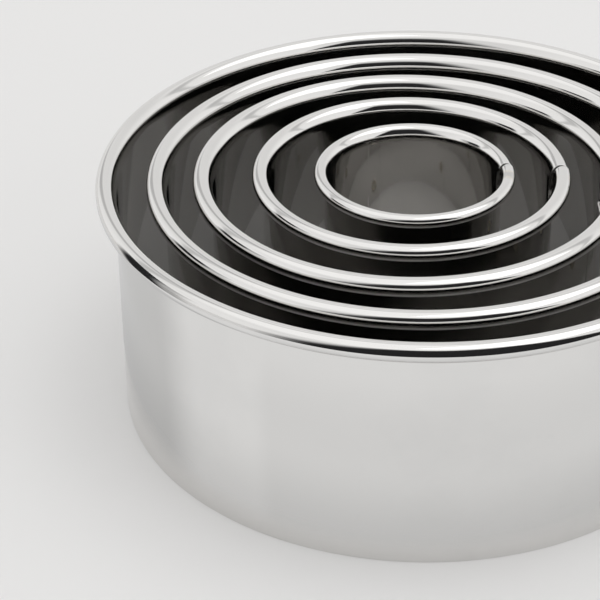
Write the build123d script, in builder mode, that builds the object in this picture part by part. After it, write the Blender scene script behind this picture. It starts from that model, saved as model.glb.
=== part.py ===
"""A nested set of five round pastry cutters, in millimetres, standing on z = 0.

Each cutter is one strip of stainless sheet, rolled into a ring. The strip's top
edge is curled outwards into a hollow rim. A little below the rim, one end of the
strip runs inside the other as a lap, and spot welds through the lap close the
ring. The rim can't lap, so its two ends meet at a narrow gap.

The origin is the centre of the largest cutter at its cutting edge, +Z is up, and
-Y is the front. The gaps and laps are on the +X side.
"""

import os
from math import acos, cos, degrees, radians, sin

from build123d import *

# The set, from the smallest cutter to the largest. A wall spacing is how much
# further out each cutter's wall stands than the one before.
cutter_names = ("smallest", "small", "medium", "large", "largest")
smallest_diameter = 24.1
wall_spacings = (0.0, 7.6, 7.5, 7.45, 7.6)
rim_widths = (2.1, 2.6, 2.9, 2.85, 2.85)
cutter_height = 35.0
sheet_thickness = 0.3

# The rim's curl, arc by arc: a long bend out of the wall, the shoulder, the crown,
# and the way back underneath. The turns are where the first three arcs end.
bend_turn = 15.0
shoulder_turn = 35.0
crown_turn = 165.0
bend_radius_share = 1.85
shoulder_radius_share = 0.97
under_radius_share = 0.48

# Where each cutter stands in the nest, as it was set down
nest_places = ((-0.91, -0.2), (-1.37, 0.0), (-1.71, -0.37), (-0.64, -0.52), (0.0, 0.0))

# The gap in the rim, with its angle from +X on each cutter, and how far the rear
# end of the rim stands inside the front end
seam_angles = (7.5, 3.5, 6.0, 4.0, 5.0)
rim_gap = 0.25
rim_offset = 0.2

# The lap, which starts a drop below the rim, and the row of spot welds up its middle
lap_drop = 3.5
lap_length = 5.0
lap_clearance = 0.03
weld_count = 3
weld_diameter = 1.8
weld_dimple = 0.05
weld_margin = 5.0

# The space between the curled lip and the wall, and the cutting edge's corners
lip_clearance = 0.15
edge_break = 0.05

quarter_turn = 90.0
half_turn = 180.0
full_turn = 360.0


def across(start_turn, end_turn):
    """How far a curl's arc of unit radius goes outwards between two turns."""
    return cos(radians(start_turn)) - cos(radians(end_turn))


def upwards(start_turn, end_turn):
    """How far a curl's arc of unit radius goes up between two turns."""
    return sin(radians(end_turn)) - sin(radians(start_turn))


class Cutter:
    """One cutter's sizes and places, worked out from the set's."""

    def __init__(self, index):
        self.name = cutter_names[index] + "_cutter"
        self.measure_curl(rim_widths[index])
        self.lap_top = cutter_height - rim_widths[index] - lap_drop
        # Radii to the sheet's inner face, on the front half, the lap and the rear half
        outer_radius = smallest_diameter / 2 + sum(wall_spacings[: index + 1])
        self.front_radius = outer_radius - sheet_thickness
        self.lap_radius = self.front_radius - sheet_thickness - lap_clearance
        step = rim_offset / 2
        self.rear_radius = self.front_radius - step
        # The front half ends at the seam, and the rear half a gap past it. They meet
        # smoothly at the join, opposite the rear half's end.
        self.seam = seam_angles[index]
        self.gap_turn = degrees(rim_gap / self.front_radius)
        self.gap_end = self.seam + self.gap_turn
        self.join = self.gap_end - half_turn
        self.lap_turn = degrees(lap_length / self.lap_radius)
        place_x, place_y = nest_places[index]
        self.front_centre = Vector(place_x, place_y, 0)
        self.rear_centre = self.front_centre + Vector(step, 0, 0).rotate(Axis.Z, self.join)

    def measure_curl(self, rim_width):
        """Works out the radius and the turn of each arc of the curl."""
        bend = rim_width * bend_radius_share
        shoulder = rim_width * shoulder_radius_share
        under = rim_width * under_radius_share
        # The crown spans what the other arcs leave of the rim's width
        others = bend * across(0, bend_turn) + shoulder * across(bend_turn, shoulder_turn)
        others += under * across(crown_turn, half_turn)
        crown = (rim_width - others) / across(shoulder_turn, crown_turn)
        # The lip ends beside the wall, across from the centre of the last arc
        lip_reach = rim_width - under - sheet_thickness - lip_clearance
        lip_turn = full_turn - degrees(acos(lip_reach / under))
        self.curl_arcs = (
            (bend, bend_turn),
            (shoulder, shoulder_turn - bend_turn),
            (crown, crown_turn - shoulder_turn),
            (under, lip_turn - crown_turn),
        )
        rise = bend * upwards(0, bend_turn) + shoulder * upwards(bend_turn, shoulder_turn)
        rise += crown * upwards(shoulder_turn, quarter_turn)
        self.curl_foot = cutter_height - rise


def sheet_plane(centre, radius, angle):
    """The upright plane across the sheet, with its origin on the sheet's inner face."""
    outwards = Vector(1, 0, 0).rotate(Axis.Z, angle)
    along = Vector(0, -1, 0).rotate(Axis.Z, angle)
    return Plane(origin=centre + outwards * radius, x_dir=outwards, z_dir=along)


def wall_section(top):
    """The wall across its thickness, with the cutting edge's corners taken off."""
    with BuildSketch() as wall:
        with BuildLine():
            Polyline(
                (0, top),
                (0, edge_break),
                (edge_break, 0),
                (sheet_thickness - edge_break, 0),
                (sheet_thickness, edge_break),
                (sheet_thickness, top),
                close=True,
            )
        make_face()
    return wall.sketch


def rim_section(cutter):
    """The curled rim, from the wall's top over and down to the lip beside the wall."""
    with BuildSketch() as rim:
        with BuildLine():
            lip = []
            for depth in (0, sheet_thickness):
                place = Vector(depth, cutter.curl_foot)
                heading = Vector(0, 1)
                for radius, turn in cutter.curl_arcs:
                    arc = JernArc(place, heading, radius - depth, -turn)
                    place = arc @ 1
                    heading = arc % 1
                lip.append(place)
            Line((0, cutter.curl_foot), (sheet_thickness, cutter.curl_foot))
            Line(*lip)
        make_face()
    return rim.sketch


def weld_plane(cutter):
    """The plane that the welds stand on, a dimple's depth into the lap's inner face."""
    middle = cutter.seam - cutter.lap_turn / 2
    base = sheet_plane(cutter.front_centre, cutter.lap_radius + weld_dimple, middle)
    row_middle = base.origin + Vector(0, 0, cutter.lap_top / 2)
    return Plane(origin=row_middle, x_dir=(0, 0, 1), z_dir=base.x_dir)


def make_welds(cutter):
    """The spot welds, through both layers of the lap."""
    row_spacing = (cutter.lap_top - 2 * weld_margin) / (weld_count - 1)
    weld_length = 2 * (sheet_thickness - weld_dimple) + lap_clearance
    with BuildPart() as welds:
        with BuildSketch(weld_plane(cutter)):
            with GridLocations(row_spacing, 0, weld_count, 1):
                Circle(weld_diameter / 2)
        extrude(amount=weld_length)
    return welds


def make_band(cutter, welds):
    """The strip: once round from the seam, then its lap, with the welds' holes."""
    with BuildPart() as band:
        with BuildLine():
            CenterArc(
                cutter.front_centre, cutter.front_radius, cutter.seam, cutter.gap_turn - half_turn
            )
            CenterArc(cutter.rear_centre, cutter.rear_radius, cutter.join, -half_turn)
        with BuildSketch(sheet_plane(cutter.front_centre, cutter.front_radius, cutter.seam)):
            add(wall_section(cutter.curl_foot))
            add(rim_section(cutter))
        sweep()
        # The lap steps in from the rear half's end, and runs on inside the front half
        with BuildSketch(sheet_plane(cutter.front_centre, cutter.lap_radius, cutter.gap_end)):
            add(wall_section(cutter.lap_top))
        front_axis = Axis(cutter.front_centre, (0, 0, 1))
        revolve(axis=front_axis, revolution_arc=-cutter.gap_turn - cutter.lap_turn)
        for weld in welds.solids():
            add(weld, mode=Mode.SUBTRACT)
    return band


os.makedirs("parts", exist_ok=True)
for index in range(len(cutter_names)):
    cutter = Cutter(index)
    welds = make_welds(cutter)
    welds.part.label = cutter.name + "_welds"
    export_step(welds.part, "parts/" + welds.part.label + ".step")
    band = make_band(cutter, welds)
    band.part.label = cutter.name + "_band"
    export_step(band.part, "parts/" + band.part.label + ".step")
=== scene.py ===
"""The looks of a nested set of five round pastry cutters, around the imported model.

Each cutter's strip is made again as a smooth band, with its edges rounded and a
dimple at every spot weld. The set stands on a pale floor in a soft studio. All
sizes are in metres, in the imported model's frame.
"""

from math import acos, cos, pi, radians, sin

import bmesh
import bpy
from bpy.props import FloatProperty, FloatVectorProperty, PointerProperty
from mathutils import Matrix, Vector


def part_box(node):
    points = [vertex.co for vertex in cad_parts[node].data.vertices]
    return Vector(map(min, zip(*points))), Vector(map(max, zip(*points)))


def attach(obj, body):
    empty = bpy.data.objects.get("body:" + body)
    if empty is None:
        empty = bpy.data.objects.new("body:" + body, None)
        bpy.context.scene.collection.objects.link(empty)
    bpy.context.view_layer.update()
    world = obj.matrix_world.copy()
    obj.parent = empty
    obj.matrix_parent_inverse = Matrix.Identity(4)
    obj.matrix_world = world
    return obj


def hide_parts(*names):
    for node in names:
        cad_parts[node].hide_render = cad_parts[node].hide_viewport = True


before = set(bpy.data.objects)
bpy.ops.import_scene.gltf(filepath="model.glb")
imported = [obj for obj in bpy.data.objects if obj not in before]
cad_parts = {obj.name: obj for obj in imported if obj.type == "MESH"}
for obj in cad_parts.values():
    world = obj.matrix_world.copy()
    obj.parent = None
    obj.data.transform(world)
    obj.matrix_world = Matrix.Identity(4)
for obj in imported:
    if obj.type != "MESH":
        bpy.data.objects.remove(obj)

bl_info = {
    "name": "Nested Pastry Cutters",
    "version": (1, 0, 0),
    "blender": (4, 5, 0),
    "location": "3D View > Sidebar > Cutters",
    "description": "Dresses a nested set of round pastry cutters",
    "category": "Object",
}

# From the smallest cutter to the largest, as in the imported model
CUTTERS = ("smallest", "small", "medium", "large", "largest")
UP = Vector((0, 0, 1))
NO_SHIFT = (0, 0, 0)

# A rim's curl, arc by arc: where the bend out of the wall, the shoulder and the
# crown end, and the radii as shares of the rim's width
BEND_TURN, SHOULDER_TURN, CROWN_TURN = radians(15), radians(35), radians(165)
BEND_SHARE, SHOULDER_SHARE, UNDER_SHARE = 1.85, 0.97, 0.48

# Spot welds in the row up the middle of each lap
WELD_COUNT = 3


# Sizes and colours that a user would change


class CutterSizes(bpy.types.PropertyGroup):
    """Sizes of the cutters' sheet, rims, seams and spot welds"""

    sheet_thickness: FloatProperty(
        name="Sheet thickness",
        description="Thickness of the strip that every cutter is rolled from",
        default=0.0003,
        min=0.0001,
        unit="LENGTH",
        precision=5,
    )
    rim_widths: FloatVectorProperty(
        name="Rim widths",
        description="Width of each curled rim, from the smallest cutter to the largest",
        size=5,
        default=(0.0021, 0.0026, 0.0029, 0.00285, 0.00285),
        unit="LENGTH",
        precision=5,
    )
    seam_angles: FloatVectorProperty(
        name="Seam angles",
        description="Turn from +X to each cutter's seam, from the smallest to the largest",
        size=5,
        default=tuple(radians(turn) for turn in (7.5, 3.5, 6.0, 4.0, 5.0)),
        unit="ROTATION",
    )
    rim_gap: FloatProperty(
        name="Rim gap",
        description="Gap between the two ends of a curled rim",
        default=0.00025,
        unit="LENGTH",
        precision=5,
    )
    rim_offset: FloatProperty(
        name="Rim offset",
        description="How far the rear end of a rim stands inside the front end",
        default=0.0002,
        unit="LENGTH",
        precision=5,
    )
    lap_drop: FloatProperty(
        name="Lap drop",
        description="How far below the rim the lap starts",
        default=0.0035,
        unit="LENGTH",
        precision=5,
    )
    lap_length: FloatProperty(
        name="Lap length",
        description="How far one end of the strip runs inside the other",
        default=0.005,
        unit="LENGTH",
    )
    lap_clearance: FloatProperty(
        name="Lap clearance",
        description="Space between the two layers of the lap",
        default=0.00003,
        unit="LENGTH",
        precision=6,
    )
    lip_clearance: FloatProperty(
        name="Lip clearance",
        description="Space between the curled lip and the wall",
        default=0.00015,
        unit="LENGTH",
        precision=5,
    )
    edge_round: FloatProperty(
        name="Edge rounding",
        description="Radius on the cutting edge, the lip and the strip's ends",
        default=0.00005,
        unit="LENGTH",
        precision=6,
    )
    weld_diameter: FloatProperty(
        name="Weld diameter",
        description="Diameter of a spot weld",
        default=0.0018,
        unit="LENGTH",
        precision=5,
    )
    weld_margin: FloatProperty(
        name="Weld margin",
        description="From the ends of the lap to the first and the last spot weld",
        default=0.005,
        unit="LENGTH",
    )
    weld_depth: FloatProperty(
        name="Weld dimple",
        description="How deep the electrodes press the sheet in at a spot weld",
        default=0.000065,
        unit="LENGTH",
        precision=6,
    )
    turn_step: FloatProperty(
        name="Turn step",
        description="Length of one face along the strip",
        default=0.001,
        unit="LENGTH",
        precision=5,
    )
    curl_step: FloatProperty(
        name="Curl step",
        description="Turn of one face round the curl of a rim",
        default=radians(5),
        min=radians(2),
        unit="ROTATION",
    )


class CutterFinish(bpy.types.PropertyGroup):
    """Colours and polish of the sheet and the spot welds"""

    steel_colour: FloatVectorProperty(
        name="Steel",
        description="Colour that the polished sheet reflects",
        subtype="COLOR",
        size=3,
        default=(0.765, 0.756, 0.742),
        min=0,
        max=1,
    )
    scuffed_colour: FloatVectorProperty(
        name="Scuffed steel",
        description="Colour of the sheet where handling has dulled it",
        subtype="COLOR",
        size=3,
        default=(0.70, 0.693, 0.683),
        min=0,
        max=1,
    )
    straw_tint: FloatVectorProperty(
        name="Straw tint",
        description="Heat tint on the sheet close to a spot weld",
        subtype="COLOR",
        size=3,
        default=(0.74, 0.65, 0.47),
        min=0,
        max=1,
    )
    blue_tint: FloatVectorProperty(
        name="Blue tint",
        description="Heat tint at the rim of a spot weld",
        subtype="COLOR",
        size=3,
        default=(0.44, 0.46, 0.54),
        min=0,
        max=1,
    )
    weld_colour: FloatVectorProperty(
        name="Weld",
        description="Colour of a spot weld's pressed face",
        subtype="COLOR",
        size=3,
        default=(0.62, 0.61, 0.59),
        min=0,
        max=1,
    )
    polish: FloatProperty(
        name="Polish",
        description="Roughness of the cleanest sheet",
        subtype="FACTOR",
        default=0.06,
        min=0,
        max=1,
    )
    ripple: FloatProperty(
        name="Ripple",
        description="Height of the ripples that rolling leaves across the strip",
        default=0.000001,
        unit="LENGTH",
        precision=6,
    )


class StudioLook(bpy.types.PropertyGroup):
    """Colours and light of the floor and the studio, and the camera's place"""

    floor_colour: FloatVectorProperty(
        name="Floor",
        description="Colour of the floor",
        subtype="COLOR",
        size=3,
        default=(0.82, 0.815, 0.81),
        min=0,
        max=1,
    )
    # Painted reflection: the glow of a card that only the polished steel mirrors, for the floor
    front_glow: FloatVectorProperty(
        name="Front glow",
        description="Colour of the bright floor that the polished steel mirrors in front",
        subtype="COLOR",
        size=3,
        default=(0.86, 0.86, 0.86),
        min=0,
        max=1,
    )
    card_colour: FloatVectorProperty(
        name="Dark card",
        description="Colour of the cards that the polished steel mirrors as dark",
        subtype="COLOR",
        size=3,
        default=(0.02, 0.02, 0.021),
        min=0,
        max=1,
    )
    sky_level: FloatProperty(
        name="Studio light",
        description="Level of the plain light from all round",
        default=0.92,
        min=0,
    )
    lamp_power: FloatProperty(
        name="Soft lamp",
        description="Power of the soft lamp above the right-hand side, in watts",
        default=0.75,
        min=0,
    )
    camera_place: FloatVectorProperty(
        name="Camera place",
        description="Where the camera stands",
        subtype="TRANSLATION",
        size=3,
        default=(0.0, -0.24813, 0.17241),
    )
    camera_turn: FloatVectorProperty(
        name="Camera turn",
        description="Turn to the left, tilt down from level, and roll",
        size=3,
        default=(radians(3.8894), radians(32.6984), radians(-0.5669)),
        unit="ROTATION",
    )
    camera_lens: FloatProperty(
        name="Lens",
        description="Focal length of the camera, in millimetres, on a 36 mm sensor",
        default=123.31,
    )


# Shader maths

# The mix node's sockets for colours, and where the object's coordinates come out
MIX_FIRST, MIX_SECOND, MIX_RESULT = 6, 7, 2
OBJECT_COORDINATES = 3


def both_ways(operation):
    """A math node's operation as an operator's method, and as its reflected form."""
    return (
        lambda value, other: value.nodes.maths(operation, value, other),
        lambda value, other: value.nodes.maths(operation, other, value),
    )


class Value:
    """A number that varies over a surface: a socket that Python's operators act on."""

    __add__, __radd__ = both_ways("ADD")
    __sub__, __rsub__ = both_ways("SUBTRACT")
    __mul__, __rmul__ = both_ways("MULTIPLY")
    __truediv__, __rtruediv__ = both_ways("DIVIDE")
    __pow__, __rpow__ = both_ways("POWER")

    def __init__(self, nodes, socket):
        self.nodes = nodes
        self.socket = socket

    def __abs__(self):
        return self.nodes.maths("ABSOLUTE", self)


class Nodes:
    """Adds nodes to one node tree."""

    def __init__(self, tree):
        self.tree = tree
        tree.nodes.clear()

    def add(self, kind, settings=None, inputs=None, output=0):
        """Adds a node, sets its settings, then its sockets' values or links."""
        node = self.tree.nodes.new(kind)
        for name, setting in (settings or {}).items():
            setattr(node, name, setting)
        for name, given in (inputs or {}).items():
            socket = node.inputs[name]
            if isinstance(given, Value):
                self.tree.links.new(given.socket, socket)
            else:
                socket.default_value = given
        return Value(self, node.outputs[output]) if node.outputs else None

    def maths(self, operation, *values):
        """Works out an operation of the math node on its values."""
        return self.add("ShaderNodeMath", {"operation": operation}, dict(enumerate(values)))

    def smooth(self, value, start, end):
        """0 up to start and 1 from end, with a smooth rise between."""
        return self.add(
            "ShaderNodeMapRange",
            {"interpolation_type": "SMOOTHSTEP"},
            {"Value": value, "From Min": start, "From Max": end},
        )

    def window(self, value, rise, fall):
        """1 between a smooth rise and a smooth fall, each given as where it starts and ends."""
        return self.smooth(value, *rise) * (1 - self.smooth(value, *fall))

    def mix(self, share, first, second):
        """Mixes two colours."""
        given = {"Factor": share, MIX_FIRST: colour4(first), MIX_SECOND: colour4(second)}
        return self.add("ShaderNodeMix", {"data_type": "RGBA"}, given, output=MIX_RESULT)

    def noise(self, place, scale, detail, roughness=0.5):
        """Noise from 0 to 1 over a place."""
        given = {"Vector": place, "Scale": scale, "Detail": detail, "Roughness": roughness}
        return self.add("ShaderNodeTexNoise", None, given)

    def vector(self, x, y, z):
        """A vector from its x, y and z."""
        return self.add("ShaderNodeCombineXYZ", None, {"X": x, "Y": y, "Z": z})

    def parts(self, vector):
        """The x, y and z of a vector."""
        split = self.add("ShaderNodeSeparateXYZ", None, {"Vector": vector}).socket.node
        return [Value(self, socket) for socket in split.outputs]

    def place(self, centre=NO_SHIFT):
        """The place on the object, measured from a centre."""
        coordinates = self.add("ShaderNodeTexCoord", output=OBJECT_COORDINATES)
        moved = {"Vector": coordinates, "Location": [-c for c in centre]}
        return self.add("ShaderNodeMapping", None, moved)


def colour4(colour):
    """A colour with its alpha, or a link as it is."""
    return colour if isinstance(colour, Value) else (*colour, 1)


def new_material(name):
    """A material that uses nodes, and what adds them."""
    material = bpy.data.materials.new(name)
    material.use_nodes = True
    return material, Nodes(material.node_tree)


def steel_surface(nodes, colour, roughness, normal):
    """Ends a steel material in its shader and its output."""
    shader = nodes.add(
        "ShaderNodeBsdfPrincipled",
        None,
        {
            "Base Color": colour4(colour),
            "Metallic": 1.0,
            "Roughness": roughness,
            "Normal": normal,
        },
    )
    nodes.add("ShaderNodeOutputMaterial", None, {"Surface": shader})


# The marks on the sheet: how often each kind repeats in a metre, along the strip and up
# it, and where its noise starts and ends to show
RIPPLES_PER_METRE = (420, 9)
WAVES_PER_METRE = (70, 4)
LINES_PER_METRE = (30, 9000)
SCRATCHES_PER_METRE, SCRATCH_NOISE = (90, 2600), (0.6, 0.75)
SMUDGES_PER_METRE, SMUDGE_NOISE = 55, (0.46, 0.72)
SPECKS_PER_METRE, SPECK_NOISE = 900, (0.62, 0.78)

# How high each kind of mark stands, in ripples, and how far it scuffs the sheet
RIPPLE_HEIGHT, WAVE_HEIGHT, LINE_HEIGHT = 0.6, 6, 0.12
SMUDGE_SCUFF, SPECK_SCUFF, EDGE_SCUFF, SCRATCH_SCUFF = 0.35, 0.12, 0.25, 0.5
SCUFF_ROUGHNESS, SCRATCH_ROUGHNESS, STRAW_ROUGHNESS = 0.07, 0.012, 0.08

# Heights between which the cutting edge's wear fades
WORN_HEIGHTS = (0.0003, 0.0022)

# Where the heat tints fade, in weld radii, and how strong they are
STRAW_FADE, BLUE_FADE, TINT_SHARE = (1.1, 1.9), (1.0, 1.35), 0.35

# Sets the noise of one cutter apart from the others'
LAYERS_PER_METRE = 100

# Weld radii that count as far from every weld
FAR_AWAY = 100

# A weld's pressed face: its grain, its rings of tint, and their relief
GRAINS_PER_METRE, GRAIN_DETAIL, GRAIN_SPREAD = 5200, 4, 0.65
RING_RATE, RING_HEIGHT, WELD_RELIEF = 24, 0.25, 0.000012
WELD_STRAW, WELD_BLUE = (0.3, 0.85), (0.78, 1.0)
WELD_ROUGHNESS, GRAIN_ROUGHNESS = 0.26, 0.2


def weld_distance(nodes, strip, sizes, x, y, z):
    """The distance from the axis of the nearest spot weld, in weld radii."""
    across = x * -sin(strip.weld_turn) + y * cos(strip.weld_turn)
    outwards = x * cos(strip.weld_turn) + y * sin(strip.weld_turn)
    half_spacing = strip.weld_spacing / 2
    row = nodes.maths("WRAP", z - strip.weld_heights[0], half_spacing, -half_spacing)
    away = nodes.maths("SQRT", across**2 + row**2)
    other_side = nodes.maths("LESS_THAN", outwards, 0)
    return away / (sizes.weld_diameter / 2) + other_side * FAR_AWAY


def polished_sheet(strip, sizes, finish):
    """Polished stainless sheet: rolled across its ripples, faintly smudged, worn at its edge."""
    material, nodes = new_material("polished_sheet_" + strip.name)
    place = nodes.place(strip.front_centre)
    x, y, z = nodes.parts(place)
    turn = nodes.maths("ARCTAN2", y, x)
    along = turn * strip.front_radius

    def marks(per_metre, layer, detail):
        """Noise with its own rate along the strip and up it."""
        rate_along, rate_up = per_metre
        stretched = nodes.vector(along * rate_along, z * rate_up, layer)
        return nodes.noise(stretched, scale=1, detail=detail)

    # Rolling leaves ripples across the strip, and polishing leaves fine lines along it
    own_layer = strip.front_radius * LAYERS_PER_METRE
    ripples = marks(RIPPLES_PER_METRE, own_layer, detail=3)
    waves = marks(WAVES_PER_METRE, own_layer, detail=1)
    lines = marks(LINES_PER_METRE, layer=0, detail=2)
    height = ripples * RIPPLE_HEIGHT + waves * WAVE_HEIGHT + lines * LINE_HEIGHT
    bump = nodes.add(
        "ShaderNodeBump", None, {"Strength": 1.0, "Distance": finish.ripple, "Height": height}
    )

    smudged = nodes.noise(place, SMUDGES_PER_METRE, detail=4, roughness=0.6)
    smudges = nodes.smooth(smudged, *SMUDGE_NOISE)
    specks = nodes.smooth(nodes.noise(place, SPECKS_PER_METRE, detail=2), *SPECK_NOISE)
    edge_wear = 1 - nodes.smooth(z, *WORN_HEIGHTS)
    scratches = marks(SCRATCHES_PER_METRE, layer=1, detail=2)
    scratched = nodes.smooth(scratches, *SCRATCH_NOISE)
    scuffs = smudges * SMUDGE_SCUFF + specks * SPECK_SCUFF
    scuffs = scuffs + edge_wear * (EDGE_SCUFF + scratched * SCRATCH_SCUFF)
    roughness = finish.polish + scuffs * SCUFF_ROUGHNESS + scratched * SCRATCH_ROUGHNESS

    away = weld_distance(nodes, strip, sizes, x, y, z)
    straw = 1 - nodes.smooth(away, *STRAW_FADE)
    blue = 1 - nodes.smooth(away, *BLUE_FADE)
    colour = nodes.mix(scuffs, finish.steel_colour, finish.scuffed_colour)
    colour = nodes.mix(straw * TINT_SHARE, colour, finish.straw_tint)
    colour = nodes.mix(blue * TINT_SHARE, colour, finish.blue_tint)
    steel_surface(nodes, colour, roughness + straw * STRAW_ROUGHNESS, bump)
    return material


def pressed_weld(strip, sizes, finish):
    """The face of a spot weld: pressed matt by the electrode, with rings of heat tint."""
    material, nodes = new_material("spot_weld_" + strip.name)
    place = nodes.place(strip.front_centre)
    x, y, z = nodes.parts(place)
    away = weld_distance(nodes, strip, sizes, x, y, z)
    grain = nodes.noise(place, GRAINS_PER_METRE, GRAIN_DETAIL, GRAIN_SPREAD)
    rings = nodes.maths("SINE", away * RING_RATE) * 0.5 + 0.5
    bump = nodes.add(
        "ShaderNodeBump",
        None,
        {"Strength": 1.0, "Distance": WELD_RELIEF, "Height": grain + rings * RING_HEIGHT},
    )
    colour = nodes.mix(nodes.smooth(away, *WELD_STRAW), finish.weld_colour, finish.straw_tint)
    colour = nodes.mix(nodes.smooth(away, *WELD_BLUE), colour, finish.blue_tint)
    steel_surface(nodes, colour, WELD_ROUGHNESS + grain * GRAIN_ROUGHNESS, bump)
    return material


# The cutters

# Rows beside a corner, in edge roundings from it, and rows above and below a weld, in
# weld diameters from its middle
SUPPORT_ROUNDS, WELD_ROW_SHARE = 3, 0.8

# Fewest faces round one arc of the curl, and how much finer the strip is at its lap
LEAST_ARC_STEPS, LAP_FINENESS = 3, 2

# A weld's dimple: the field that is cut finer and where the dimple's slope starts, in
# weld radii, the slope's width, and the cuts each way
FIELD_REACH, DIMPLE_REACH, DIMPLE_SLOPE, FIELD_CUTS = 1.7, 1.18, 0.16, 5

# The rounding of the strip's corners
ROUNDING_SEGMENTS, ROUNDED_CORNERS = 2, radians(50)


def towards(turn):
    """The level direction at a turn from +X."""
    return Vector((cos(turn), sin(turn), 0))


class Strip:
    """Where one cutter's strip runs, read from its imported band and the sizes."""

    def __init__(self, cutter, sizes):
        index = CUTTERS.index(cutter)
        self.name = cutter + "_cutter"
        low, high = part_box(self.name + "_band")
        reach = (high.x - low.x) / 2
        self.rim_width = sizes.rim_widths[index]
        self.curl_arcs, rise = curl(self.rim_width, sizes)
        self.curl_foot = high.z - rise
        self.lap_top = high.z - self.rim_width - sizes.lap_drop
        # Radii are to the sheet's inner face, on the front half, the lap and the rear half
        self.front_radius = reach - self.rim_width
        self.lap_radius = self.front_radius - sizes.sheet_thickness - sizes.lap_clearance
        self.rear_radius = self.front_radius - sizes.rim_offset / 2
        self.seam = sizes.seam_angles[index]
        self.gap_turn = sizes.rim_gap / self.front_radius
        self.lap_turn = sizes.lap_length / self.lap_radius
        self.front_centre = Vector(((low.x + high.x) / 2, low.y + reach, 0))
        inwards = towards(self.seam + self.gap_turn - pi)
        self.rear_centre = self.front_centre + inwards * sizes.rim_offset / 2
        self.weld_turn = self.seam - self.lap_turn / 2
        self.weld_spacing = (self.lap_top - 2 * sizes.weld_margin) / (WELD_COUNT - 1)
        self.weld_heights = [
            sizes.weld_margin + self.weld_spacing * row for row in range(WELD_COUNT)
        ]


def curl(rim_width, sizes):
    """The radius and the turn of each arc of a rim's curl, and the curl's rise."""
    bend, shoulder, under = (
        rim_width * share for share in (BEND_SHARE, SHOULDER_SHARE, UNDER_SHARE)
    )
    # The crown spans what the other arcs leave of the rim's width
    others = bend * (1 - cos(BEND_TURN)) + shoulder * (cos(BEND_TURN) - cos(SHOULDER_TURN))
    others += under * (cos(CROWN_TURN) + 1)
    crown = (rim_width - others) / (cos(SHOULDER_TURN) - cos(CROWN_TURN))
    # The lip ends beside the wall, across from the centre of the last arc
    lip_reach = rim_width - under - sizes.sheet_thickness - sizes.lip_clearance
    arcs = (
        (bend, BEND_TURN),
        (shoulder, SHOULDER_TURN - BEND_TURN),
        (crown, CROWN_TURN - SHOULDER_TURN),
        (under, 2 * pi - acos(lip_reach / under) - CROWN_TURN),
    )
    rise = bend * sin(BEND_TURN) + shoulder * (sin(SHOULDER_TURN) - sin(BEND_TURN))
    return arcs, rise + crown * (1 - sin(SHOULDER_TURN))


def picked(geometry, kind):
    """The vertices, edges or faces of an operator's result."""
    return [part for part in geometry if isinstance(part, kind)]


def draw_section(mesh, strip, sizes):
    """Draws the sheet's section at the seam: up the wall and round the curl."""
    outwards = towards(strip.seam)
    foot = strip.front_centre + outwards * strip.front_radius
    inner = mesh.verts.new(foot)
    outer = mesh.verts.new(foot + outwards * sizes.sheet_thickness)
    edge = mesh.edges.new((inner, outer))
    # Rows close to the corners keep the rounding's shading off the mirror-flat wall
    support = SUPPORT_ROUNDS * sizes.edge_round
    off_weld = sizes.weld_diameter * WELD_ROW_SHARE
    welds = [height + off for height in strip.weld_heights for off in (-off_weld, off_weld)]
    rows = [support, *welds, strip.lap_top - support, strip.lap_top, strip.curl_foot]
    level = 0
    for row in rows:
        grown = bmesh.ops.extrude_edge_only(mesh, edges=[edge])["geom"]
        bmesh.ops.translate(mesh, verts=picked(grown, bmesh.types.BMVert), vec=UP * (row - level))
        inner, outer, edge = row_end(grown, strip.front_centre)
        level = row
    turned = 0
    for radius, turn in strip.curl_arcs:
        inwards = outwards * cos(turned) - UP * sin(turned)
        grown = bmesh.ops.spin(
            mesh,
            geom=[inner, outer, edge],
            cent=inner.co + inwards * radius,
            axis=towards(strip.seam + pi / 2),
            dvec=NO_SHIFT,
            angle=turn,
            steps=max(LEAST_ARC_STEPS, round(turn / sizes.curl_step)),
        )["geom_last"]
        turned += turn
        # The outside of the curl stays the side that was the wall's inner face
        edge = picked(grown, bmesh.types.BMEdge)[0]
        inwards = outwards * cos(turned) - UP * sin(turned)
        inner, outer = sorted(edge.verts, key=lambda vertex: vertex.co.dot(inwards))
    return mesh.verts[:] + mesh.edges[:] + mesh.faces[:]


def row_end(grown, centre):
    """The inner vertex, the outer vertex and the edge between them, where a row ends."""
    ends = picked(grown, bmesh.types.BMVert)
    inner, outer = sorted(ends, key=lambda vertex: (vertex.co - centre).xy.length)
    edge = next(e for e in inner.link_edges if outer in e.verts)
    return inner, outer, edge


def sweep(mesh, section, centre, turn, steps, shift=NO_SHIFT):
    """Spins a section clockwise about an upright axis, and returns where it ends.

    The section also moves by the shift at every step.
    """
    swept = bmesh.ops.spin(
        mesh, geom=section, cent=centre, axis=UP, dvec=shift, angle=-turn, steps=steps
    )
    return swept["geom_last"]


def below(section, height):
    """The part of a section that lies below a height."""
    faces = [
        face
        for face in picked(section, bmesh.types.BMFace)
        if face.calc_center_median().z < height
    ]
    return list(
        {*faces, *(v for f in faces for v in f.verts), *(e for f in faces for e in f.edges)}
    )


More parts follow.
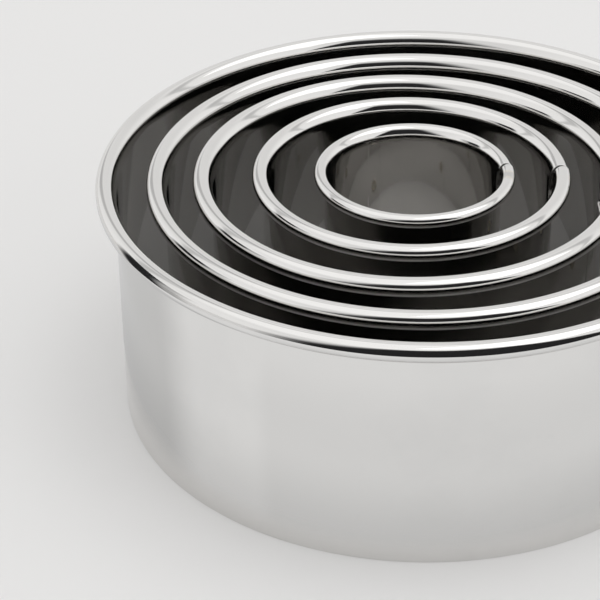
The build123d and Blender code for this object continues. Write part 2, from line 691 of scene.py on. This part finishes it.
def press_welds(mesh, strip, sizes, radius, side):
    """Presses the dimples of the spot welds into one face of the lap.

    side is 1 on the outer face and -1 on the inner face.
    """
    outwards = towards(strip.weld_turn)
    weld_radius = sizes.weld_diameter / 2
    field = weld_radius * FIELD_REACH
    same_face = sizes.sheet_thickness / 10
    for height in strip.weld_heights:
        middle = strip.front_centre + outwards * radius + UP * height

        def near(face):
            """Whether a face belongs to the field round this weld, on this side."""
            place = face.calc_center_median()
            away = place - middle
            depth = away.dot(outwards)
            off_face = (place - strip.front_centre).xy.length - radius
            return (
                abs(away.z) < field
                and (away - outwards * depth - UP * away.z).length < field
                and abs(off_face) < same_face
                and face.normal.dot(outwards) * side > 0.5
            )

        edges = {edge for face in mesh.faces if near(face) for edge in face.edges}
        upright = [
            edge for edge in edges if abs(edge.verts[0].co.z - edge.verts[1].co.z) > weld_radius
        ]
        bmesh.ops.subdivide_edges(mesh, edges=upright, cuts=FIELD_CUTS, use_grid_fill=True)
        edges = {edge for face in mesh.faces if near(face) for edge in face.edges}
        bmesh.ops.subdivide_edges(mesh, edges=list(edges), cuts=FIELD_CUTS, use_grid_fill=True)
        for vertex in {v for face in mesh.faces if near(face) for v in face.verts}:
            away = vertex.co - middle
            depth = away.dot(outwards)
            distance = (away - outwards * depth).length / weld_radius
            share = min(max((DIMPLE_REACH - distance) / DIMPLE_SLOPE, 0), 1)
            # The usual smooth step, so that the slope has no crease
            share = share * share * (3 - 2 * share)
            floor = -side * sizes.weld_depth
            vertex.co += outwards * (floor - depth) * share


def make_band(cutter, sizes, finish):
    """Makes the strip of one cutter, rolled and curled, as one closed mesh."""
    strip = Strip(cutter, sizes)
    mesh = bmesh.new()
    section = draw_section(mesh, strip, sizes)
    support = SUPPORT_ROUNDS * sizes.edge_round
    fine = LAP_FINENESS * round(sizes.lap_length / sizes.turn_step)
    # Clockwise from the seam: the outer layer of the lap, then the rest of the front half
    front_edge = support / strip.front_radius
    lap_fine = strip.lap_turn - 2 * front_edge
    section = sweep(mesh, section, strip.front_centre, front_edge, 1)
    section = sweep(mesh, section, strip.front_centre, lap_fine, fine)
    rest = pi - strip.gap_turn - front_edge - lap_fine
    steps = round(rest * strip.front_radius / sizes.turn_step)
    section = sweep(mesh, section, strip.front_centre, rest, steps)
    # The rear half, up to the gap in the rim
    rear_edge = support / strip.rear_radius
    rest = pi - rear_edge
    steps = round(rest * strip.rear_radius / sizes.turn_step)
    section = sweep(mesh, section, strip.rear_centre, rest, steps)
    section = sweep(mesh, section, strip.rear_centre, rear_edge, 1)
    # Below the lap's top the wall steps in across the gap, and runs on inside the front
    wall = below(section, strip.lap_top)
    step_in = sizes.sheet_thickness + sizes.lap_clearance - sizes.rim_offset
    shift = towards(strip.seam + strip.gap_turn / 2) * -step_in
    wall = sweep(mesh, wall, strip.front_centre, strip.gap_turn, 1, shift)
    wall = sweep(mesh, wall, strip.front_centre, front_edge, 1)
    wall = sweep(mesh, wall, strip.front_centre, lap_fine, fine)
    sweep(mesh, wall, strip.front_centre, front_edge, 1)
    bmesh.ops.recalc_face_normals(mesh, faces=mesh.faces[:])
    outer_face = strip.front_radius + sizes.sheet_thickness
    press_welds(mesh, strip, sizes, outer_face, 1)
    press_welds(mesh, strip, sizes, strip.lap_radius, -1)

    data = bpy.data.meshes.new(strip.name + "_strip")
    for face in mesh.faces:
        face.smooth = True
    mesh.to_mesh(data)
    mesh.free()
    band = bpy.data.objects.new(strip.name + "_strip", data)
    bpy.context.scene.collection.objects.link(band)
    rounding = band.modifiers.new("rounding", "BEVEL")
    rounding.width = sizes.edge_round
    rounding.segments = ROUNDING_SEGMENTS
    rounding.limit_method = "ANGLE"
    rounding.angle_limit = ROUNDED_CORNERS
    rounding.use_clamp_overlap = False
    data.materials.append(polished_sheet(strip, sizes, finish))
    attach(band, strip.name)
    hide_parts(strip.name + "_band")
    return band


class CUTTERS_OT_bands(bpy.types.Operator):
    """Make the rolled and curled strip of every cutter"""

    bl_idname = "cutters.bands"
    bl_label = "Make the Bands"

    def execute(self, context):
        for cutter in CUTTERS:
            make_band(cutter, context.scene.cutter_sizes, context.scene.cutter_finish)
        return {"FINISHED"}


class CUTTERS_OT_welds(bpy.types.Operator):
    """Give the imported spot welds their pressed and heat-tinted faces"""

    bl_idname = "cutters.welds"
    bl_label = "Finish the Welds"

    def execute(self, context):
        sizes = context.scene.cutter_sizes
        for cutter in CUTTERS:
            strip = Strip(cutter, sizes)
            material = pressed_weld(strip, sizes, context.scene.cutter_finish)
            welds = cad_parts[strip.name + "_welds"]
            if not welds.material_slots:
                raise RuntimeError(welds.name + " has no material slot to fill")
            for slot in welds.material_slots:
                slot.material = material
        return {"FINISHED"}


# The studio

DEGREES = 180 / pi

# How often light may bounce from steel to steel, in the narrow space between two walls
GLOSSY_BOUNCES = 6

# About the height of the rims, and the largest wall's radius
RIM_HEIGHT, WALL_RADIUS = 0.034, 0.042

# How bright the painted reflection of the floor is at the foot, darkened there as a painted
# contact shadow, and what it gains as the distance from the axis passes from one value to
# another
FOOT_SHADOW_GLOW = 0.74
GLOW_GAINS = ((0.043, 0.062, 0.18), (0.066, 0.095, 0.13))

# What that painted reflection gains and loses towards the left, where a painted shadow of the
# set darkens it, as the turn on the wall that mirrors it passes from one value to another,
# in degrees
LEFT_SHADOW_GAINS = ((24, 29, 0.07), (40, 54, -0.26))

# How much faster a turn on the floor grows with distance than the turn on the wall that
# mirrors it
MIRROR_SPREAD = 1.4

# The sky: its level at the front and back, what the sides add, and its level overhead
SKY_BASE, SKY_SIDES, SKY_OVERHEAD = 0.92, 0.16, 1.22
SIDE_WIDTHS, OVERHEAD_HEIGHTS = (0.35, 0.9), (0.62, 0.86)
SKY_TINT = (1.0, 0.998, 0.994)

# The darker seam across the sky behind the set, in degrees of climb from +Y
SEAM_RISE, SEAM_FALL, SEAM_DEPTH = (49, 56), (60, 67), 0.36

# The soft lamp: its side, its distance and its direction
LAMP_SIDE, LAMP_DISTANCE, LAMP_TURN, LAMP_CLIMB = 0.7, 0.85, radians(-15), radians(62)

# The camera's sensor in millimetres, and the nearest and furthest that it sees
SENSOR_WIDTH, NEAREST, FURTHEST = 36, 0.01, 20


def stage_object(name, data):
    """Adds a piece of the stage, which isn't part of the set."""
    piece = bpy.data.objects.new(name, data)
    bpy.context.scene.collection.objects.link(piece)
    return piece


def mirror_only(piece):
    """Leaves a card out of all but the reflections in the steel."""
    piece.visible_camera = False
    piece.visible_diffuse = False
    piece.visible_transmission = False
    piece.visible_volume_scatter = False
    piece.visible_shadow = False


def make_floor(look):
    """A plain floor, with painted shade that makes it a little darker away from the set."""
    floor_radius, just_below = 4.0, -0.00001
    mesh = bmesh.new()
    bmesh.ops.create_circle(mesh, cap_ends=True, segments=96, radius=floor_radius)
    bmesh.ops.translate(mesh, verts=mesh.verts[:], vec=(0, 0, just_below))
    data = bpy.data.meshes.new("floor")
    mesh.to_mesh(data)
    mesh.free()
    material, nodes = new_material("pale_floor")
    place = nodes.place()
    clouds_per_metre, cloud_share = 3, 0.04
    shade_from, shade_to, shade_share, darkest = 0.052, 0.088, 0.45, 0.86
    cloud = nodes.noise(place, clouds_per_metre, detail=2)
    x, y, z = nodes.parts(place)
    reach = nodes.maths("SQRT", x**2 + y**2)
    # Faint clouds of tone, and painted shade that darkens the floor away from the set
    clouds_and_shade = cloud * cloud_share + nodes.smooth(reach, shade_from, shade_to) * shade_share
    shaded = [channel * darkest for channel in look.floor_colour]
    shader = nodes.add(
        "ShaderNodeBsdfPrincipled",
        None,
        {
            "Base Color": nodes.mix(clouds_and_shade, look.floor_colour, shaded),
            "Roughness": 0.55,
            "Specular IOR Level": 0.3,
        },
    )
    nodes.add("ShaderNodeOutputMaterial", None, {"Surface": shader})
    data.materials.append(material)
    return stage_object("floor", data)


def card_sector(name, points, start, end, steps):
    """A card that follows a line of (radius, height) points, turned about the set's axis."""
    mesh = bmesh.new()
    first = towards(start)
    line = [mesh.verts.new(first * radius + UP * height) for radius, height in points]
    edges = [mesh.edges.new(pair) for pair in zip(line, line[1:])]
    bmesh.ops.spin(
        mesh,
        geom=line + edges,
        cent=NO_SHIFT,
        axis=UP,
        dvec=NO_SHIFT,
        angle=end - start,
        steps=steps,
    )
    data = bpy.data.meshes.new(name)
    mesh.to_mesh(data)
    mesh.free()
    card = stage_object(name, data)
    mirror_only(card)
    return card


def glow_card(card, looks):
    """Gives a card a glow, with its share and its colour worked out in nodes."""
    material, nodes = new_material(card.name)
    share, colour = looks(nodes)
    clear = nodes.add("ShaderNodeBsdfTransparent")
    glow = nodes.add("ShaderNodeEmission", None, {"Color": colour4(colour), "Strength": 1.0})
    mixed = nodes.add("ShaderNodeMixShader", None, {0: share, 1: clear, 2: glow})
    nodes.add("ShaderNodeOutputMaterial", None, {"Surface": mixed})
    card.data.materials.append(material)


def gain(nodes, value, level, gains):
    """A level that gains a share at each smooth step that the value passes."""
    for start, end, share in gains:
        level = level + nodes.smooth(value, start, end) * share
    return level


def make_front_glow(look):
    """The floor that the steel mirrors in front, as a glowing painted reflection.

    Painted shadow darkens it at the foot and at the left.
    """
    near, far, height = 0.0425, 0.113, 0.0004
    near_fade, right_fade, left_fade = (near, 0.047), (-58, -50), (128, 148)

    def looks(nodes):
        x, y, z = nodes.parts(nodes.place())
        reach = nodes.maths("SQRT", x**2 + y**2)
        # The turn from the front towards the left, and the turn on the wall that mirrors it
        turn = nodes.maths("ARCTAN2", x * -1, y * -1) * DEGREES
        spread = reach * (1 + MIRROR_SPREAD) - WALL_RADIUS * MIRROR_SPREAD
        mirrored = turn * reach / spread
        # Painted shadow: the painted reflection is darker at the foot and towards the left
        level = gain(nodes, reach, FOOT_SHADOW_GLOW, GLOW_GAINS) * gain(nodes, mirrored, 1, LEFT_SHADOW_GAINS)
        share = nodes.window(turn, right_fade, left_fade) * nodes.smooth(reach, *near_fade)
        return share, nodes.mix(level, (0, 0, 0), look.front_glow)

    line = [(near, height), (far, height)]
    start, end = radians(-240), radians(-30)
    glow_card(card_sector("front_glow", line, start, end, steps=72), looks)


def make_front_card(look):
    """What the steel mirrors beyond the bright floor in front: a dark card."""
    near, far, height, upright, top = 0.112, 0.18, 0.0005, 0.181, 0.30
    near_fade, top_fade = (near, 0.116), (0.16, 0.225)
    # Its sides lean as they rise above the rim, by a share of the climb from the axis
    left_fade, left_lean = (-142, -118), 0.7
    right_fade, right_lean = (-36, -32), 0.55

    def looks(nodes):
        x, y, z = nodes.parts(nodes.place())
        turn = nodes.maths("ARCTAN2", y, x) * DEGREES
        reach = nodes.maths("SQRT", x**2 + y**2)
        climb = nodes.maths("ARCTAN2", z - RIM_HEIGHT, reach) * DEGREES
        lean = nodes.maths("MAXIMUM", climb, 0)
        left = nodes.smooth(turn - lean * left_lean, *left_fade)
        right = 1 - nodes.smooth(turn + lean * right_lean, *right_fade)
        below_top = 1 - nodes.smooth(z, *top_fade)
        share = left * right * below_top * nodes.smooth(reach, *near_fade)
        return share, look.card_colour

    line = [(near, height), (far, height), (upright, top)]
    start, end = radians(-150), radians(-30)
    glow_card(card_sector("front_card", line, start, end, steps=48), looks)


def make_left_card(look):
    """A narrow dark card at the left, thinner towards the front."""
    near, far, height, upright, top = 0.098, 0.110, 0.0006, 0.117, 0.070
    back_fade, front_fade = (-9, -1), (18, 28)
    thin_from, thin_to, thin_share = 10, 17, 0.55

    def looks(nodes):
        x, y, z = nodes.parts(nodes.place())
        # Measured from -X, so that the turn runs on across it
        turn = nodes.maths("ARCTAN2", y * -1, x * -1) * DEGREES
        dense = 1 - nodes.smooth(turn, thin_from, thin_to) * thin_share
        return nodes.window(turn, back_fade, front_fade) * dense, look.card_colour

    line = [(near, height), (far, height), (upright, top)]
    start, end = radians(168), radians(212)
    glow_card(card_sector("left_card", line, start, end, steps=24), looks)


def make_grey_strip():
    """A tall grey strip far off, behind the left card."""
    distance, foot, top, grey, density = 0.70, 0.20, 0.95, (0.5, 0.5, 0.5), 0.9
    right_fade, left_fade = (110, 119), (123, 133)

    def looks(nodes):
        x, y, z = nodes.parts(nodes.place())
        turn = nodes.maths("ARCTAN2", y, x) * DEGREES
        return nodes.window(turn, right_fade, left_fade) * density, grey

    line = [(distance, foot), (distance, top)]
    start, end = radians(108), radians(134)
    glow_card(card_sector("grey_strip", line, start, end, steps=12), looks)


def light_studio(look):
    """Plain light from all round, brighter overhead but for one seam, and one soft lamp."""
    world = bpy.data.worlds.new("studio")
    bpy.context.scene.world = world
    world.use_nodes = True
    nodes = Nodes(world.node_tree)
    direction = nodes.add("ShaderNodeTexCoord")
    x, y, z = nodes.parts(direction)
    level = SKY_BASE + nodes.smooth(abs(x), *SIDE_WIDTHS) * SKY_SIDES
    level = level + nodes.smooth(z, *OVERHEAD_HEIGHTS) * (SKY_OVERHEAD - level)
    # The seam between two soft boxes, which every rim mirrors as a fine line
    climb = nodes.maths("ARCTAN2", z, y) * DEGREES
    level = level - nodes.window(climb, SEAM_RISE, SEAM_FALL) * SEAM_DEPTH
    glow = nodes.add(
        "ShaderNodeBackground",
        None,
        {"Color": colour4(SKY_TINT), "Strength": level * look.sky_level},
    )
    nodes.add("ShaderNodeOutputWorld", None, {"Surface": glow})

    lamp = bpy.data.lights.new("soft_lamp", "AREA")
    lamp.shape = "RECTANGLE"
    lamp.size, lamp.size_y = LAMP_SIDE, LAMP_SIDE
    lamp.energy = look.lamp_power
    holder = bpy.data.objects.new("soft_lamp", lamp)
    bpy.context.scene.collection.objects.link(holder)
    aim = towards(LAMP_TURN) * cos(LAMP_CLIMB) + UP * sin(LAMP_CLIMB)
    holder.location = aim * LAMP_DISTANCE
    holder.rotation_mode = "QUATERNION"
    holder.rotation_quaternion = aim.to_track_quat("Z", "Y")


def place_camera(look):
    """Stands the camera where the photograph was taken from."""
    camera = bpy.data.cameras.new("camera")
    camera.sensor_width = SENSOR_WIDTH
    camera.lens = look.camera_lens
    camera.clip_start, camera.clip_end = NEAREST, FURTHEST
    holder = bpy.data.objects.new("camera", camera)
    bpy.context.scene.collection.objects.link(holder)
    turn, tilt, roll = look.camera_turn
    holder.matrix_world = (
        Matrix.Translation(look.camera_place)
        @ Matrix.Rotation(turn, 4, "Z")
        @ Matrix.Rotation(pi / 2 - tilt, 4, "X")
        @ Matrix.Rotation(roll, 4, "Z")
    )
    bpy.context.scene.camera = holder


class CUTTERS_OT_studio(bpy.types.Operator):
    """Set up the floor, the cards, the light and the camera"""

    bl_idname = "cutters.studio"
    bl_label = "Set up the Studio"

    def execute(self, context):
        look = context.scene.studio_look
        place_camera(look)
        make_floor(look)
        make_front_glow(look)
        make_front_card(look)
        make_left_card(look)
        make_grey_strip()
        light_studio(look)
        context.scene.view_settings.view_transform = "Standard"
        context.scene.cycles.glossy_bounces = GLOSSY_BOUNCES
        return {"FINISHED"}


class CUTTERS_PT_sidebar(bpy.types.Panel):
    """The steps that dress the set"""

    bl_label = "Pastry Cutters"
    bl_idname = "CUTTERS_PT_sidebar"
    bl_space_type = "VIEW_3D"
    bl_region_type = "UI"
    bl_category = "Cutters"

    def draw(self, context):
        for group, steps in (
            (context.scene.cutter_sizes, (CUTTERS_OT_bands, CUTTERS_OT_welds)),
            (context.scene.cutter_finish, ()),
            (context.scene.studio_look, (CUTTERS_OT_studio,)),
        ):
            box = self.layout.box()
            for name in group.bl_rna.properties.keys():
                if name not in ("rna_type", "name"):
                    box.prop(group, name)
            for step in steps:
                box.operator(step.bl_idname)


GROUPS = {
    "cutter_sizes": CutterSizes,
    "cutter_finish": CutterFinish,
    "studio_look": StudioLook,
}
STEPS = (CUTTERS_OT_bands, CUTTERS_OT_welds, CUTTERS_OT_studio, CUTTERS_PT_sidebar)


def register():
    for group in (*GROUPS.values(), *STEPS):
        bpy.utils.register_class(group)
    for name, group in GROUPS.items():
        setattr(bpy.types.Scene, name, PointerProperty(type=group))


def unregister():
    for name in GROUPS:
        delattr(bpy.types.Scene, name)
    for group in reversed((*GROUPS.values(), *STEPS)):
        bpy.utils.unregister_class(group)


def main():
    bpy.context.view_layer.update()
    register()
    bpy.ops.cutters.bands()
    bpy.ops.cutters.welds()
    bpy.ops.cutters.studio()


if __name__ == "__main__":
    main()
